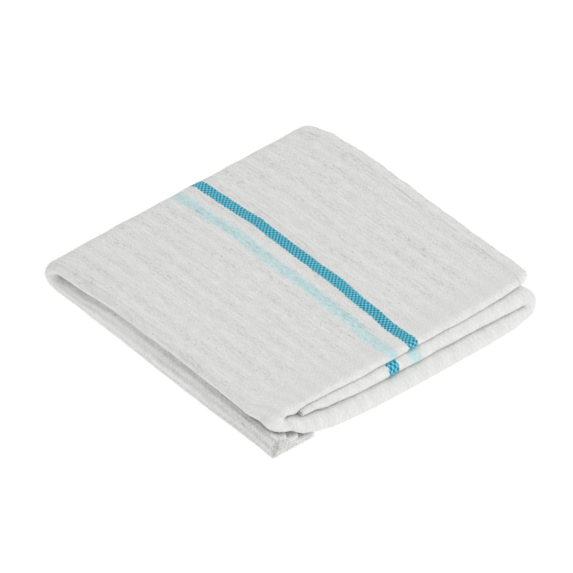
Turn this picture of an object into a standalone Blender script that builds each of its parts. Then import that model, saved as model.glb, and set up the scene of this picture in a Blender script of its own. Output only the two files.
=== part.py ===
"""A dry cotton floor cloth, 50 x 70 cm, folded into a nearly square pack.

The cloth is one sheet. It is folded in half along its length, then in thirds
across its width, and then in half again, so twelve plies lie on each other.
X runs along the folded strip, from the spine, which is the last fold, at X = 0,
to the end where the first fold's bends show. Y runs across the stripes, from
the wrapped side at Y = 0 to the side with the free selvedge. Z is up, and the
lowest ply lies flat on Z = 0.

Sizes are in millimetres. The mesh is written in metres, with its origin below
the middle of the pack.
"""
import bpy
import numpy as np

MILLIMETRE = 0.001

# Cloth
PLY = 1.1
CLOTH_WIDTH = 500.0
COTTON_COLOUR = (0.70, 0.70, 0.685, 1.0)

# Levels count plies from the crease between the two halves of the pack. The
# cloth's thirds lie at levels 1 (panel c), 3 (panel b) and 5 (panel a), and the
# two plies of each lie half a level to either side.
LEVELS = np.array([5.0, 3.0, 1.0])
OUTER_LEVEL = 5.5
HALF_PITCH = 0.5

# Spine
SPINE_RADIUS = 10.5
SPINE_PITCH = 1.47
SPINE_RELAXED_X = 56.0

# Crease between the halves, and the spacing of the plies above it
CREASE_HEIGHT = 12.2
CREASE_RISE_X = (22.0, 40.0, 66.0, 112.0, 140.0, 158.0)
CREASE_RISE_AT_WRAP = (0.8, 2.6, 3.0, 2.8, 1.8, 0.4)
CREASE_RISE_Y = (4.0, 32.0)
TOP_PITCH = 1.95
TOP_PITCH_AT_WRAP = 1.52
PILLOW_Y = (3.0, 36.0)

# The front corner of the lower half is pressed down by the bends above it
CRUSH = 3.4
CRUSH_X = (128.0, 168.0)
CRUSH_STARTS_Y = (0.0, 8.0)
CRUSH_ENDS_Y = (28.0, 40.0)

# Turns across the width: the wrap joins c to a, the turn joins c to b. A reach
# is how far the inner ply's middle stands out past the turn's centre.
TURN_Y = 164.0
TURN_REACH = 1.05
WRAP_Y = 5.0
WRAP_REACH = 3.6
WRAP_REACH_AT_BENDS = 1.6
WRAP_REACH_LOWER = 1.2
WRAP_TALL = 11.0
WRAP_SET_BACK = 1.0
WRAP_OPENS_X = (153.5, 168.0)
NEAR_WRAP_Y = (5.0, 30.0)
PANEL_B_DRAWN_IN = 13.4
PANEL_B_DRAWN_X = (110.0, 168.0)
PANEL_B_DRAWN_Y = (5.0, 60.0)
LOWER_SHIFT_B = -0.6
LOWER_SPLAY = -2.0
LOWER_SPLAY_X = (10.0, 150.0)
FOOT_FLARE = 2.2
SELVEDGE_Y = 170.5
SELVEDGE_BOW_FROM_Y = 110.0
SELVEDGE_X = (0.0, 4.0, 11.0, 20.0, 40.0, 80.0, 130.0, 152.0, 162.0, 168.0, 178.0)
SELVEDGE_SHIFT = (-6.0, -4.5, -1.8, 0.9, 1.8, 1.6, 1.8, 2.0, 1.7, 0.4, -3.6)

# The corner between the spine and the wrap sags and reaches out a little
SAG_SHARE = 0.12
SAG_REACH = 2.0
SAG_X = (0.0, 24.0)
SAG_Y = (0.0, 26.0)

# Bends of the first fold, at the end of the upper half. Each pair of plies
# parts into a loop. A row holds, for one distance from the wrapped side, the X
# of each panel's outermost point, the height of its middle and how tall it is.
BEND_COLUMNS = ("y", "a_end", "a_z", "a_tall", "b_end", "b_z", "b_tall", "c_end", "c_z", "c_tall")
BEND_ROWS = (
    (12.0, 173.4, 20.0, 4.4, 175.0, 16.4, 2.6, 176.6, 12.9, 6.2),
    (15.0, 173.8, 19.5, 5.4, 175.0, 16.4, 2.6, 178.2, 12.1, 7.6),
    (17.0, 174.2, 19.4, 5.3, 175.4, 16.3, 2.6, 178.9, 11.0, 8.4),
    (19.2, 174.4, 20.7, 3.5, 176.0, 16.6, 3.0, 179.7, 10.1, 9.0),
    (28.0, 175.0, 21.5, 3.9, 176.8, 17.2, 4.0, 181.4, 8.4, 10.4),
    (36.0, 175.8, 22.2, 4.6, 177.7, 16.5, 6.0, 182.3, 7.3, 10.2),
    (60.0, 176.6, 22.4, 4.8, 179.2, 16.0, 7.2, 183.4, 6.5, 10.4),
    (100.0, 176.0, 22.4, 4.8, 179.0, 16.0, 7.2, 183.5, 6.4, 10.2),
    (140.0, 175.6, 22.5, 4.8, 178.9, 15.6, 8.2, 182.3, 5.9, 9.4),
    (155.0, 174.6, 22.6, 4.8, 178.6, 14.7, 8.8, 181.0, 5.2, 8.4),
    (164.0, 173.8, 22.8, 4.8, 178.0, 14.5, 8.2, 178.8, 5.0, 7.8),
)
LOOP_LENGTHS = np.array([17.5, 19.0, 22.0])
LOOP_OPENS_AT_SHARE = 0.15

# Free ends of the lower half: how far each panel's end draws back from END_X,
# and between which distances from the wrapped side it does so
END_X = 177.0
END_BACK_AT_TURN = 6.0
END_TURN_Y = (130.0, 164.0)
END_COLUMNS = ("panel", "drawn_back", "from_y", "to_y")
END_ROWS = (
    ("a", 8.0, 25.0, 33.0),
    ("b", 12.5, 17.0, 23.0),
    ("c", 19.5, 10.0, 17.0),
)

# Steps of the mesh
PANEL_Y = (5.0, 8.5, 12.0, 16.0, 20.5, 26.0, 33.0, 46.0, 72.0, 104.0, 136.0, 164.0)
FREE_EDGE_STEP = 2.0
TURN_STEPS = 6
WRAP_STEPS = 7
BACK_FROM_END = (0.0, 8.0, 20.0)
LOWER_X = (120.0, 56.0, 32.0)
SPINE_STEPS = 8
UPPER_X = (32.0, 56.0, 96.0, 132.0)
LOOP_SHARES = (0.0, 0.25, 0.45, 0.63, 0.81, 1.0)
CAP_DEGREES = (24.0, 48.0, 70.0, 90.0)
SHARP_DEGREES = 50.0


def smooth(limits, value):
    """0 before the first limit, 1 after the second, and an even S between them."""
    share = np.clip((value - limits[0]) / (limits[1] - limits[0]), 0.0, 1.0)
    return share * share * (3.0 - 2.0 * share)


def table_column(name, y):
    """A column of the bend table at the distances y from the wrapped side."""
    rows = np.array(BEND_ROWS)
    return np.interp(y, rows[:, 0], rows[:, BEND_COLUMNS.index(name)])


def near_spine(x):
    """1 where the spine's curve ends and 0 where the plies have settled flat."""
    return 1.0 - smooth((SPINE_RADIUS, SPINE_RELAXED_X), x)


def crease_height(x, y):
    """Height of the crease between the two halves of the pack."""
    rise = np.interp(x, CREASE_RISE_X, CREASE_RISE_AT_WRAP)
    flat = CREASE_HEIGHT + rise * (1.0 - smooth(CREASE_RISE_Y, y))
    return flat + (SPINE_RADIUS - flat) * near_spine(x)


def crease_opening(x):
    """How far level 0 lies from the crease, either way: wide at the spine, shut farther on."""
    at_spine = SPINE_RADIUS - PLY / 2 - SPINE_PITCH * OUTER_LEVEL
    return at_spine * near_spine(x)


def upper_pitch(x, y):
    """Spacing of the plies in the upper half."""
    flat = TOP_PITCH_AT_WRAP + (TOP_PITCH - TOP_PITCH_AT_WRAP) * smooth(PILLOW_Y, y)
    return flat + (SPINE_PITCH - flat) * near_spine(x)


def lower_top(x, y):
    """Height of level 0 of the lower half, whose front corner is pressed down."""
    pressed = smooth(CRUSH_STARTS_Y, y) * (1.0 - smooth(CRUSH_ENDS_Y, y))
    return crease_height(x, y) - crease_opening(x) - CRUSH * smooth(CRUSH_X, x) * pressed


def lower_pitch(x, y):
    """Spacing of the plies in the lower half, which keeps the lowest one on the floor."""
    return (lower_top(x, y) - PLY / 2) / OUTER_LEVEL


def width_stations():
    """Where the mesh's columns lie across the width of the cloth.

    Returns, one row for each column, y, the turn's angle (0 on panel c, half a
    circle on the other panel), the shares of the panels a, b and c, and the side
    that the turn bulges to (1 at the turn, -1 at the wrap, 0 on a panel).
    """
    wrap_reach = WRAP_REACH + HALF_PITCH * TOP_PITCH_AT_WRAP
    turn_reach = TURN_REACH + HALF_PITCH * TOP_PITCH
    wrap_length = np.pi * np.sqrt((wrap_reach**2 + (2 * TOP_PITCH_AT_WRAP) ** 2) / 2)
    turn_length = np.pi * np.sqrt((turn_reach**2 + TOP_PITCH**2) / 2)
    panels_c_and_a = (TURN_Y - WRAP_Y) + (SELVEDGE_Y - WRAP_Y)
    b_edge = TURN_Y - (CLOTH_WIDTH - turn_length - wrap_length - panels_c_and_a)
    inner = [y for y in PANEL_Y if y > b_edge + FREE_EDGE_STEP]
    rows = [(y, np.pi, (0, 1, 0), 0) for y in [b_edge] + inner]
    for step in range(1, TURN_STEPS + 1):
        angle = np.pi * (1 - step / TURN_STEPS)
        near_c = (1 + np.cos(angle)) / 2
        rows.append((TURN_Y, angle, (0, 1 - near_c, near_c), 1))
    rows += [(y, 0.0, (0, 0, 1), 0) for y in PANEL_Y[-2::-1]]
    for step in range(1, WRAP_STEPS + 1):
        angle = np.pi * step / WRAP_STEPS
        near_c = (1 + np.cos(angle)) / 2
        rows.append((WRAP_Y, angle, (1 - near_c, 0, near_c), -1))
    rows += [(y, np.pi, (1, 0, 0), 0) for y in PANEL_Y[1:-1] + (SELVEDGE_Y,)]
    y = np.array([row[0] for row in rows])
    angle = np.array([row[1] for row in rows])
    shares = np.array([row[2] for row in rows], float)
    side = np.array([row[3] for row in rows], float)
    return y, angle, shares, side


def ply_stations():
    """Where the mesh's rows lie along one ply, from its free end to the bend's tip.

    Returns pairs of a part of the path and the place in it: how far back from
    the free end, the X in the lower half, the share of the spine's half circle,
    the X in the upper half, the share of the loop and the degrees of its cap.
    """
    rows = [("end", value) for value in BACK_FROM_END]
    rows += [("lower", value) for value in LOWER_X]
    rows += [("spine", step / SPINE_STEPS) for step in range(SPINE_STEPS + 1)]
    rows += [("upper", value) for value in UPPER_X]
    rows += [("loop", value) for value in LOOP_SHARES]
    rows += [("cap", value) for value in CAP_DEGREES]
    return rows


def wrap_drawn_in():
    """How far the wrap's centre moves in at the bends, where its loop is tall."""
    growth = (WRAP_TALL - PLY) / 2 - HALF_PITCH * TOP_PITCH_AT_WRAP
    return 2 * growth + WRAP_REACH_AT_BENDS - WRAP_REACH + WRAP_SET_BACK


def upper_shift(x, y, shares):
    """How far a column of the upper half moves in beside the bends."""
    drawn = wrap_drawn_in() * smooth(WRAP_OPENS_X, x) * (1.0 - smooth(NEAR_WRAP_Y, y))
    drawn_b = PANEL_B_DRAWN_IN * smooth(PANEL_B_DRAWN_X, x) * (1.0 - smooth(PANEL_B_DRAWN_Y, y))
    return drawn + (drawn_b - drawn) * shares[:, 1]


def lower_shift(x, y, shares):
    """How far a column of the lower half moves: its foot flares out beside the wrap."""
    flare = FOOT_FLARE * (shares @ LEVELS - LEVELS[2]) / (LEVELS[0] - LEVELS[2])
    shift = LOWER_SHIFT_B * shares[:, 1] + LOWER_SPLAY * smooth(LOWER_SPLAY_X, x)
    return (shift - flare) * (1.0 - smooth(NEAR_WRAP_Y, y))


def selvedge_bow(x, y, shares):
    """How far the free selvedge of panel a bows outward."""
    limits = (SELVEDGE_BOW_FROM_Y, SELVEDGE_Y)
    return np.interp(x, SELVEDGE_X, SELVEDGE_SHIFT) * smooth(limits, y) * shares[:, 0]


def bend_shape(y, angle, shares, side):
    """Start X, middle X and middle Z of each column's loop, its half height and half width.

    The two halves differ at the wrap only, where the loop is wider than it is tall.
    """
    at_tip = y + upper_shift(np.full_like(y, END_X), y, shares)
    mixed = {}
    for name in ("end", "z", "tall"):
        panels = [table_column(panel + name, at_tip) for panel in ("a_", "b_", "c_")]
        mixed[name] = (shares * np.array(panels).T).sum(axis=1)
    around = np.where(side < 0, np.sin(angle), 0.0)
    tall = mixed["tall"] + (WRAP_TALL - mixed["tall"]) * around
    middle = mixed["end"] - tall / 2
    start = middle - shares @ LOOP_LENGTHS
    return start, middle, mixed["z"], (mixed["tall"] - PLY) / 2, (tall - PLY) / 2


def end_x(y, shares):
    """X of the free ends of the lower half."""
    drawn = END_BACK_AT_TURN * smooth(END_TURN_Y, y)
    for share, row in zip(shares.T, END_ROWS):
        end = dict(zip(END_COLUMNS, row))
        drawn += share * end["drawn_back"] * smooth((end["from_y"], end["to_y"]), y)
    return END_X - drawn


def middle_of_ply(station, y, angle, shares, side, ply):
    """Points on the middle of one ply, for all columns at one row of the mesh.

    ply is +1 for the ply inside the turns and -1 for the one outside them. Each
    point is the middle line of the two plies plus an offset across it, which
    grows from half a pitch to half the loop's height where the loop opens.
    """
    part, value = station
    level = shares @ LEVELS
    start, middle, bend_z, tip_half, tip_wide = bend_shape(y, angle, shares, side)
    along_x, along_z = np.zeros_like(y), np.ones_like(y)
    cap = 0.0
    if part in ("end", "lower"):
        x = end_x(y, shares) - value if part == "end" else np.full_like(y, value)
        stand = y + lower_shift(x, y, shares)
        z = lower_top(x, stand) - lower_pitch(x, stand) * level
        half = wide = HALF_PITCH * lower_pitch(x, stand)
        along_z = -along_z
        reach = np.where(side > 0, TURN_REACH, WRAP_REACH_LOWER)
    elif part == "spine":
        turn = np.pi * (value - 0.5)
        radius = SPINE_RADIUS - PLY / 2 - SPINE_PITCH * (OUTER_LEVEL - level)
        x = SPINE_RADIUS - radius * np.cos(turn)
        z = SPINE_RADIUS + radius * np.sin(turn)
        half = wide = np.full_like(y, HALF_PITCH * SPINE_PITCH)
        along_x, along_z = along_x - np.cos(turn), along_z * np.sin(turn)
        rise = smooth((0.0, 1.0), value)
        stand = y + lower_shift(x, y, shares) * (1.0 - rise)
        reach = WRAP_REACH_LOWER + (WRAP_REACH - WRAP_REACH_LOWER) * rise
        reach = np.where(side > 0, TURN_REACH, reach)
    else:
        share = 1.0 if part == "cap" else value
        x = np.full_like(y, value) if part == "upper" else start + (middle - start) * share
        share = np.clip((x - start) / (middle - start), 0.0, 1.0)
        stand = y + upper_shift(x, y, shares)
        flat = crease_height(x, stand) + crease_opening(x) + upper_pitch(x, stand) * level
        z = flat + (bend_z - flat) * smooth((0.0, 1.0), share)
        slope = 6.0 * share * (1.0 - share) / (middle - start) * (bend_z - flat)
        along_x, along_z = -slope / np.hypot(1.0, slope), 1.0 / np.hypot(1.0, slope)
        flat_half = HALF_PITCH * upper_pitch(x, stand)
        open_share = smooth((LOOP_OPENS_AT_SHARE, 1.0), share)
        half = flat_half + (tip_half - flat_half) * open_share
        wide = flat_half + (tip_wide - flat_half) * open_share
        opened = smooth(WRAP_OPENS_X, x)
        reach = WRAP_REACH + (WRAP_REACH_AT_BENDS - WRAP_REACH) * opened
        reach = np.where(side > 0, TURN_REACH, reach)
    bulge = side * (reach + wide) * np.sin(angle)
    if part == "cap":
        degrees = np.radians(value)
        cap = tip_wide * np.sin(degrees)
        half = half * np.cos(degrees)
        wide = wide * np.cos(degrees)
    return np.stack(
        [
            x + cap + ply * half * along_x * np.cos(angle),
            stand + bulge + selvedge_bow(x, y, shares) - ply * wide * side * np.sin(angle),
            z + ply * half * along_z * np.cos(angle),
        ],
        axis=1,
    )


def sagged(points):
    """The whole pack with its corner between the spine and the wrap let down a little."""
    near = 1.0 - smooth(SAG_X, points[:, :, 0])
    near = near * (1.0 - smooth(SAG_Y, points[:, :, 1]))
    low = PLY / 2
    moved = points.copy()
    moved[:, :, 0] -= SAG_REACH * near
    moved[:, :, 2] = low + (points[:, :, 2] - low) * (1.0 - SAG_SHARE * near)
    return moved


def middle_surface():
    """The sheet's middle surface as a grid: columns across the width, rows along the length."""
    y, angle, shares, side = width_stations()
    stations = ply_stations()
    outer = [middle_of_ply(s, y, angle, shares, side, -1) for s in stations]
    inner = [middle_of_ply(s, y, angle, shares, side, 1) for s in stations[-2::-1]]
    return sagged(np.stack(outer + inner, axis=1))


def grid_directions(points, axis):
    """Directions along one axis of a grid. The nearer neighbour counts more than the other."""
    steps = np.diff(points, axis=axis)
    lengths = np.linalg.norm(steps, axis=2, keepdims=True)
    slopes = steps / lengths**2
    inside = [slice(None)] * 3
    before = list(inside)
    inside[axis], before[axis] = slice(1, None), slice(None, -1)
    middle = slopes[tuple(inside)] + slopes[tuple(before)]
    first, last = slopes.take([0], axis=axis), slopes.take([-1], axis=axis)
    return np.concatenate([first, middle, last], axis=axis)


def grid_normals(points):
    """Unit normals of a grid of points."""
    across = grid_directions(points, 0)
    along = grid_directions(points, 1)
    normal = np.cross(along, across)
    return normal / np.linalg.norm(normal, axis=2, keepdims=True)


def sheet_mesh(name, points, normals, thickness):
    """A closed sheet: the grid moved half a thickness either way, and a rim round it."""
    columns, rows = points.shape[:2]
    above = (points + normals * thickness / 2).reshape(-1, 3)
    below = (points - normals * thickness / 2).reshape(-1, 3)
    index = np.arange(columns * rows).reshape(columns, rows)
    count = columns * rows
    first, second = index[:-1, :-1], index[1:, :-1]
    third, fourth = index[1:, 1:], index[:-1, 1:]
    top = np.stack([first, fourth, third, second], axis=2).reshape(-1, 4)
    bottom = np.stack([first, second, third, fourth], axis=2).reshape(-1, 4) + count
    border = np.concatenate(
        [index[:-1, 0], index[-1, :-1], index[:0:-1, -1], index[0, :0:-1]]
    )
    following = np.roll(border, -1)
    rim = np.stack([border, following, following + count, border + count], axis=1)
    vertices = np.concatenate([above, below]) * MILLIMETRE
    mesh = bpy.data.meshes.new(name)
    mesh.from_pydata(vertices.tolist(), [], np.concatenate([top, bottom, rim]).tolist())
    mesh.validate()
    mesh.update()
    return mesh


def cotton():
    """Material of undyed, coarse cotton."""
    material = bpy.data.materials.new("cotton")
    material.use_nodes = True
    shader = material.node_tree.nodes["Principled BSDF"]
    shader.inputs["Base Color"].default_value = COTTON_COLOUR
    shader.inputs["Roughness"].default_value = 0.95
    shader.inputs["Metallic"].default_value = 0.0
    return material


def main():
    for item in list(bpy.data.objects):
        bpy.data.objects.remove(item, do_unlink=True)
    points = middle_surface()
    normals = grid_normals(points)
    low, high = points.min(axis=(0, 1)), points.max(axis=(0, 1))
    points = points - np.array([(low[0] + high[0]) / 2, (low[1] + high[1]) / 2, 0.0])
    mesh = sheet_mesh("cloth", points, normals, PLY)
    mesh.materials.append(cotton())
    cloth = bpy.data.objects.new("cloth", mesh)
    bpy.context.scene.collection.objects.link(cloth)
    mesh.shade_smooth()
    mesh.set_sharp_from_angle(angle=np.radians(SHARP_DEGREES))


main()
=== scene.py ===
"""Looks of a dry cotton floor cloth, 50 x 70 cm, folded into a nearly square pack.

The cloth is one closed sheet, twelve plies deep, with a coarse weave, a dark and
a pale stripe beside each long edge, and a little fuzz. Sizes are in millimetres
and the meshes are written in metres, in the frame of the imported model. X runs
from the last fold's spine to the end with the first fold's bends, Y from the
wrapped side to the side with the free selvedge, and Z is up.
"""

import bpy
import numpy as np
from mathutils import Matrix, Vector


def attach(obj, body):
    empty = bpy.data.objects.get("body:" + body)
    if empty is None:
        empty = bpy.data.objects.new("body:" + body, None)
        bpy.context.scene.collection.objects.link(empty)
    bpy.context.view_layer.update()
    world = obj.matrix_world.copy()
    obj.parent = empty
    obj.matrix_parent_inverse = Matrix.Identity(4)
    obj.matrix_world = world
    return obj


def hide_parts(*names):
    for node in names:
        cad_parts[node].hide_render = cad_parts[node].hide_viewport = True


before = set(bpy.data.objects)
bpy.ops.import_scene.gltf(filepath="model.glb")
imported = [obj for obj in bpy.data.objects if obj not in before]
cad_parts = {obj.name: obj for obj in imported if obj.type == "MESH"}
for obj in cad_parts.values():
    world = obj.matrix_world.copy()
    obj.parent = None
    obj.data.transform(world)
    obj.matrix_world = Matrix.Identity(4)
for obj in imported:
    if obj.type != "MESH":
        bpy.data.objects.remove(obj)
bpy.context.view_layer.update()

MILLIMETRE = 0.001

# Where the model's origin lies in the folds' own frame
ORIGIN = np.array([90.7772072, 85.32685459, 0.0])

# Cloth
PLY = 1.1
CLOTH_WIDTH = 500.0
CLOTH_LENGTH = 700.0

# Levels count plies from the crease between the two halves of the pack. The
# cloth's thirds lie at levels 1 (panel c), 3 (panel b) and 5 (panel a), and the
# two plies of each lie half a level to either side.
LEVELS = np.array([5.0, 3.0, 1.0])
OUTER_LEVEL = 5.5
HALF_PITCH = 0.5

# Spine
SPINE_RADIUS = 10.5
SPINE_PITCH = 1.47
SPINE_RELAXED_X = 56.0

# Crease between the halves, and the spacing of the plies above it
CREASE_HEIGHT = 12.2
CREASE_RISE_X = (22.0, 40.0, 66.0, 112.0, 140.0, 158.0)
CREASE_RISE_AT_WRAP = (0.8, 2.6, 3.0, 2.8, 1.8, 0.4)
CREASE_RISE_Y = (4.0, 32.0)
TOP_PITCH = 1.95
TOP_PITCH_AT_WRAP = 1.52
PILLOW_Y = (3.0, 36.0)

# The front corner of the lower half is pressed down by the bends above it
CRUSH = 3.4
CRUSH_X = (128.0, 168.0)
CRUSH_STARTS_Y = (0.0, 8.0)
CRUSH_ENDS_Y = (28.0, 40.0)

# Turns across the width: the wrap joins c to a, the turn joins c to b. A reach
# is how far the inner ply's middle stands out past the turn's centre.
TURN_Y = 164.0
TURN_REACH = 1.05
WRAP_Y = 5.0
WRAP_REACH = 3.6
WRAP_REACH_AT_BENDS = 1.6
WRAP_REACH_LOWER = 2.2
WRAP_TALL = 11.0
WRAP_SET_BACK = 1.0
WRAP_OPENS_X = (153.5, 168.0)
NEAR_WRAP_Y = (5.0, 30.0)
PANEL_B_DRAWN_IN = 13.4
PANEL_B_DRAWN_X = (110.0, 168.0)
PANEL_B_DRAWN_Y = (5.0, 60.0)
LOWER_SHIFT_B = -0.6
LOWER_SPLAY = -2.0
LOWER_SPLAY_X = (10.0, 150.0)
FOOT_FLARE = 1.2
SELVEDGE_Y = 170.5
SELVEDGE_BOW_FROM_Y = 110.0
SELVEDGE_X = (0.0, 4.0, 11.0, 20.0, 40.0, 80.0, 130.0, 152.0, 162.0, 168.0, 178.0)
SELVEDGE_SHIFT = (-6.0, -4.5, -1.8, 0.9, 1.8, 1.6, 1.8, 2.0, 1.7, 0.4, -3.6)

# The corner between the spine and the wrap sags and reaches out a little
SAG_SHARE = 0.12
SAG_REACH = 2.0
SAG_X = (0.0, 24.0)
SAG_Y = (0.0, 26.0)

# Bends of the first fold, at the end of the upper half. Each pair of plies
# parts into a loop. A row holds, for one distance from the wrapped side, the X
# of each panel's outermost point, the height of its middle and how tall it is.
BEND_COLUMNS = ("y", "a_end", "a_z", "a_tall", "b_end", "b_z", "b_tall", "c_end", "c_z", "c_tall")
BEND_ROWS = (
    (12.0, 173.4, 20.0, 4.4, 175.0, 16.4, 2.6, 176.6, 12.9, 6.2),
    (15.0, 173.8, 19.5, 5.4, 175.0, 16.4, 2.6, 178.2, 12.1, 7.6),
    (17.0, 174.2, 19.4, 5.3, 175.4, 16.3, 2.6, 178.9, 11.0, 8.4),
    (19.2, 174.4, 20.7, 3.5, 176.0, 16.6, 3.0, 179.7, 10.1, 9.0),
    (28.0, 175.0, 21.5, 3.9, 176.8, 17.2, 4.0, 181.4, 8.4, 10.4),
    (36.0, 175.8, 22.2, 4.6, 177.7, 16.5, 6.0, 182.3, 7.3, 10.2),
    (60.0, 176.6, 22.4, 4.8, 179.2, 16.0, 7.2, 183.4, 6.5, 10.4),
    (100.0, 176.0, 22.4, 4.8, 179.0, 16.0, 7.2, 183.5, 6.4, 10.2),
    (140.0, 175.6, 22.5, 4.8, 178.9, 15.6, 8.2, 182.3, 5.9, 9.4),
    (155.0, 174.6, 22.6, 4.8, 178.6, 14.7, 8.8, 181.0, 5.2, 8.4),
    (164.0, 173.8, 22.8, 4.8, 178.0, 14.5, 8.2, 178.8, 5.0, 7.8),
    (167.0, 173.5, 22.8, 4.8, 178.0, 14.5, 8.2, 178.8, 5.0, 7.8),
    (168.6, 172.6, 22.8, 4.6, 178.0, 14.5, 8.2, 178.8, 5.0, 7.8),
    (169.8, 171.2, 22.7, 4.3, 178.0, 14.5, 8.2, 178.8, 5.0, 7.8),
    (170.5, 169.4, 22.6, 4.0, 178.0, 14.5, 8.2, 178.8, 5.0, 7.8),
)
LOOP_LENGTHS = np.array([17.5, 19.0, 22.0])
LOOP_OPENS_AT_SHARE = 0.15

# Free ends of the lower half: how far each panel's end draws back from END_X,
# and between which distances from the wrapped side it does so
END_X = 177.0
END_BACK_AT_TURN = 6.0
END_TURN_Y = (130.0, 164.0)
END_COLUMNS = ("panel", "drawn_back", "from_y", "to_y")
END_ROWS = (
    ("a", 8.0, 25.0, 33.0),
    ("b", 12.5, 17.0, 23.0),
    ("c", 19.5, 10.0, 17.0),
)

# Steps of the fine mesh. Its first rows lie that far back from the free ends, and
# FLAT_X is the part between the spine and the bends.
BACK_FROM_END = (0.0, 2.0, 5.0, 9.0, 14.0, 20.0)
FLAT_X = (12.0, 134.0)
FREE_EDGE_STEP = 2.0
TURN_STEPS = 14
WRAP_STEPS = 22
VISIBLE_STEP_Y = 2.6
HIDDEN_STEP_Y = 5.0
FINE_UNTIL_Y = 41.0
VISIBLE_STEP_X = 2.6
HIDDEN_STEP_X = 5.2
LOOP_STEP = 0.09
CAP_STEP = 12.0
BESIDE_SELVEDGE = (2.0, 1.3, 0.7, 0.3)

# The last fifth and the last quarter of the columns lie on panel a, the first for
# measuring lengths and the other for the ripples. Widths are measured on a few rows
# either side of the outer ply's middle row, which lies at the spine.
MEASURED_PART = 5
RIPPLED_PART = 4
WIDTH_ROWS = 6

# The cut ends are hemmed, so they are thicker and nearly fill the gaps between them
HEM_LENGTH = (3.0, 9.0)
HEM_GAP = 0.12
HEM_EXTRA_MOST = 0.7

# Soft ridges of the cloth: height, wave length across and along, phase
SOFT_WAVES = (
    (0.10, 23.0, 260.0, 0.4),
    (0.08, -61.0, 47.0, 1.9),
    (0.07, 37.0, 83.0, 4.4),
    (0.05, 15.0, -150.0, 2.7),
)
WAVES_FROM_Z = 3.0
WAVES_FULL_Z = 8.0

# The corner between the spine and the wrap leans: its foot stands out past its top
LEAN = 2.4
LEAN_X = (0.0, 32.0)
LEAN_Y = (0.0, 44.0)
LEAN_MIDDLE_Z = 10.5

# The free selvedge is a little wavy: height, wave length and phase
SELVEDGE_RIPPLES = ((0.13, 19.0, 0.6), (0.12, 11.3, 2.1), (0.10, 31.0, 4.0))
RIPPLE_FROM_Y = 158.0

# Weave, in mm. A pitch is measured across or along the cloth, and a size or a grain is
# how long a grain of noise is across and along it. A wave wanders from one side to the
# other as its noise goes from the first value of NOISE_REACH to the second.
YARN_PAIR_ACROSS = 2.67
YARN_ACROSS_GRAIN = (9.0, 34.0)
YARN_PAIR_ALONG = 2.26
YARN_ALONG_GRAIN = (26.0, 7.0)
YARN_WANDER = 0.35
BAND_PITCH = 9.9
BAND_GRAIN = (40.0, 150.0)
BAND_WANDER = 2.4
NOISE_REACH = (0.2, 0.8)
LINE_SIZE = (1.25, 46.0)
STREAK_SIZE = (1.5, 8.5)
MOTTLE_SIZE = (1.3, 2.0)
DASH_SIZE = (1.0, 3.6)
DASH_RANGE = (0.57, 0.72)
FLECK_SIZE = (1.1, 2.8)
FLECK_RANGE = (0.865, 0.885)
PATCH_SIZE = (14.0, 30.0)
PATCH_RANGE = (0.38, 0.58)
DASHES_BY_BAND = (-0.8, 0.8, 1.0, 0.25)

# Ribs on the wrap, which lies at WRAP_U across the cloth. They are full in the lower
# half, which begins that far from the bend, and weaker in the upper one.
RIB_PITCH = 2.7
RIB_GRAIN = (12.0, 30.0)
RIB_WANDER = 0.5
RIB_WIDTH = (8.0, 14.0)
RIB_IN_UPPER_HALF = 0.35
WRAP_U = 327.0
LOWER_FROM_BEND = (185.0, 230.0)

# Painted shade darkens the lower half's wrap, more with the distance from the bend. Lines,
# streaks, dashes and flecks keep only CALM_SHARE of their strength on the bend itself.
PAINTED_SHADE_FROM_BEND = (230.0, 345.0)
PAINTED_SHADE_SHARES = (0.0, 1.4)
CALM_FROM_BEND = (12.0, 26.0)
CALM_SHARE = 0.2

# How much lighter or darker each of these makes the cloth, and how far it stands out
WEAVE_SHADE = 0.03
BAND_SHADE = 0.022
LINE_SHADE = 0.13
STREAK_SHADE = 0.20
MOTTLE_SHADE = 0.19
DASH_SHADE = -0.16
FLECK_SHADE = -0.22
RIB_SHADE = 0.08
WRAP_WEAVE_SHADE = 0.02
# Painted shade that darkens the lower half's wrap
LOWER_WRAP_PAINTED_SHADE = -0.075
WEAVE_HEIGHT = 0.10
BAND_HEIGHT = 0.06
LINE_HEIGHT = 0.2
STREAK_HEIGHT = 0.2
MOTTLE_HEIGHT = 0.30
DASH_HEIGHT = -0.20
RIB_HEIGHT = 0.08
BUMP_STRENGTH = 0.6

# Cotton
COTTON = (0.85, 0.85, 0.83, 1.0)
COTTON_ROUGHNESS = 0.95
COTTON_GLOSS = 0.15
COTTON_SHEEN = 0.12
SHEEN_ROUGHNESS = 0.6
GLOW_THROUGH = 0.3
GLOW_DEPTH = 0.003

# Stripes
DARK_STRIPE_FROM_EDGE = 73.1
DARK_STRIPE_HALF = 3.2
DARK_STRIPE_SOFT = 0.35
PALE_STRIPE_FROM_EDGE = 87.0
PALE_STRIPE_HALF = 3.3
PALE_STRIPE_SOFT = 1.3
STRIPE_DRIFT_FROM = 62.0
STRIPE_DRIFT_TOP = 3.3
STRIPE_DRIFT_B = 2.4
STRIPE_WANDER = 0.55
STRIPE_WANDER_GRAIN = (60.0, 24.0)
STRIPE_RAGGED = 0.5
STRIPE_RAGGED_GRAIN = (0.9, 1.1)
EDGE_LINE_FROM_EDGE = 5.8
EDGE_LINE_WIDTH = (0.2, 0.8)
EDGE_LINE_GRAIN = (3.0, 9.0)
EDGE_LINE_BROKEN = (0.42, 0.6)
EDGE_LINE_SHADE = 0.14
DARK_STRIPE_LOW = (0.006, 0.215, 0.36, 1.0)
DARK_STRIPE_HIGH = (0.15, 0.63, 0.76, 1.0)
CHECK_SHARP = 0.22
PALE_STRIPE_LOW = (0.525, 0.79, 0.815, 1.0)
PALE_STRIPE_HIGH = (0.715, 0.85, 0.85, 1.0)
PALE_STRIPE_GRAIN = (1.5, 3.0)
COLOUR_NOISE_RANGE = (0.35, 0.65)

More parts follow.
